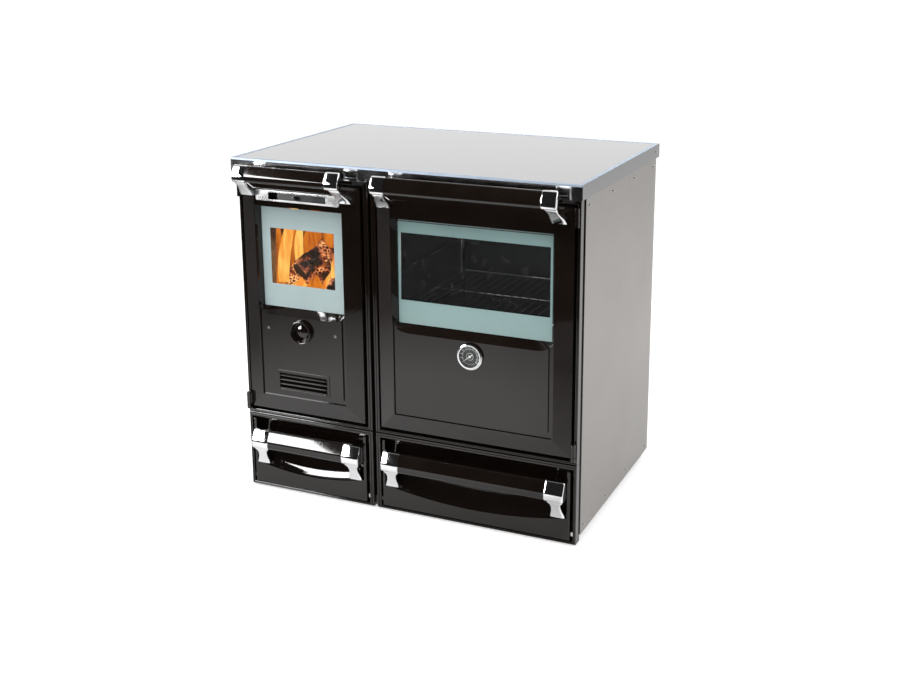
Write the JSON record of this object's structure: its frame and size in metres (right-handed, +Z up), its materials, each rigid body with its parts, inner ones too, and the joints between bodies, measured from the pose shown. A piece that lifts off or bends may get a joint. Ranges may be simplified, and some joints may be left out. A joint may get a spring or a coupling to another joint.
{
  "type": "wood cookstove",
  "caption": "Free-standing wood cookstove: glazed firebox door and oven door over two drawers, under a glass worktop in a polished trim, with a rear flue collar.",
  "frame": {"origin": "middle of the footprint of the whole stove, handles included, on the floor", "axes": "+Z up; the doors and drawers face -Y; +X is to the right of someone facing them"},
  "size_m": [0.8936, 0.66, 0.85],
  "materials": {
    "enamel": "gloss vitreous enamel",
    "oven_enamel": "satin vitreous enamel",
    "frame_steel": "matt heat-proof paint",
    "side_steel": "brushed stainless sheet",
    "zinc_sheet": "zinc-coated sheet",
    "liner_steel": "satin heat-proof paint",
    "polished_trim": "polished stainless",
    "chrome": "bright chrome plate",
    "satin_steel": "satin",
    "screws": "zinc-plated",
    "feet": "black",
    "cast_iron": "as cast",
    "firebrick": "matt",
    "rope_seal": "woven glass-fibre rope",
    "worktop_glass": "gloss glass-ceramic",
    "door_glass": "clear ceramic glass with a printed border",
    "clear_glass": "clear",
    "dial": "satin black with white marks",
    "needle": "satin white"
  },
  "bodies": {
    "root": {"carcass_posts": "frame_steel", "carcass_rails": "frame_steel", "levelling_feet": "feet", "left_side_panel": "side_steel", "right_side_panel": "side_steel", "back_panel": "zinc_sheet", "panel_screws": "screws", "worktop_frame": "polished_trim", "worktop_glass": "worktop_glass", "firebox_door_frame": "enamel", "oven_door_frame": "enamel", "left_drawer_frame": "enamel", "right_drawer_frame": "enamel", "hinge_brackets": "enamel", "firebox_casing": "frame_steel", "firebricks": "firebrick", "fire_grate": "cast_iron", "ash_pan": "zinc_sheet", "smoke_baffle": "cast_iron", "flue_collar": "cast_iron", "oven_box": "oven_enamel", "oven_runners": "chrome", "oven_rack": "chrome", "drawer_runners": "zinc_sheet", "smoke_duct": "zinc_sheet", "flue_chamber": "zinc_sheet"},
    "firebox_door": {"firebox_door_panel": "enamel", "firebox_door_liner": "liner_steel", "firebox_glass": "door_glass", "firebox_glass_clips": "zinc_sheet", "firebox_door_gasket": "rope_seal", "air_plate": "chrome", "vent_grille": "enamel", "firebox_door_screws": "screws", "firebox_handle_bar": "enamel", "firebox_handle_brackets": "chrome", "firebox_hinge_knuckles": "enamel"},
    "air_control": {"air_knob": "enamel", "air_shutter": "zinc_sheet"},
    "air_slide": {"air_slider": "satin_steel"},
    "oven_door": {"oven_door_panel": "enamel", "oven_door_liner": "liner_steel", "oven_glass": "door_glass", "oven_glass_clips": "zinc_sheet", "oven_door_gasket": "rope_seal", "thermometer_case": "chrome", "thermometer_dial": "dial", "thermometer_lens": "clear_glass", "oven_handle_bar": "enamel", "oven_handle_brackets": "chrome", "oven_hinge_knuckles": "enamel"},
    "thermometer_pointer": {"thermometer_needle": "needle"},
    "left_drawer": {"left_drawer_front": "enamel", "left_drawer_box": "zinc_sheet", "left_drawer_handle_bar": "enamel", "left_drawer_handle_brackets": "chrome"},
    "right_drawer": {"right_drawer_front": "enamel", "right_drawer_box": "zinc_sheet", "right_drawer_handle_bar": "enamel", "right_drawer_handle_brackets": "chrome"}
  },
  "joints": [
    {"name": "firebox_door_hinge", "type": "hinge", "parent": "root", "child": "firebox_door", "pos_m": [-0.4305, -0.262, 0.5], "axis": [0, 0, -1], "range_deg": [0, 110]},
    {"name": "oven_door_hinge", "type": "hinge", "parent": "root", "child": "oven_door", "pos_m": [0.4305, -0.262, 0.5], "axis": [0, 0, 1], "range_deg": [0, 110]},
    {"name": "left_drawer_slide", "type": "slide", "parent": "root", "child": "left_drawer", "axis": [0, -1, 0], "range_m": [0, 0.35]},
    {"name": "right_drawer_slide", "type": "slide", "parent": "root", "child": "right_drawer", "axis": [0, -1, 0], "range_m": [0, 0.35]},
    {"name": "air_knob_turn", "type": "hinge", "parent": "firebox_door", "child": "air_control", "pos_m": [-0.26375, -0.26, 0.434], "axis": [0, 1, 0], "range_deg": [0, 90]},
    {"name": "air_slider_slide", "type": "slide", "parent": "firebox_door", "child": "air_slide", "axis": [1, 0, 0], "range_m": [-0.023, 0.018]},
    {"name": "thermometer_needle_turn", "type": "hinge", "parent": "oven_door", "child": "thermometer_pointer", "pos_m": [0.18275, -0.27, 0.433], "axis": [0, 1, 0], "range_deg": [0, 256]}
  ]
}
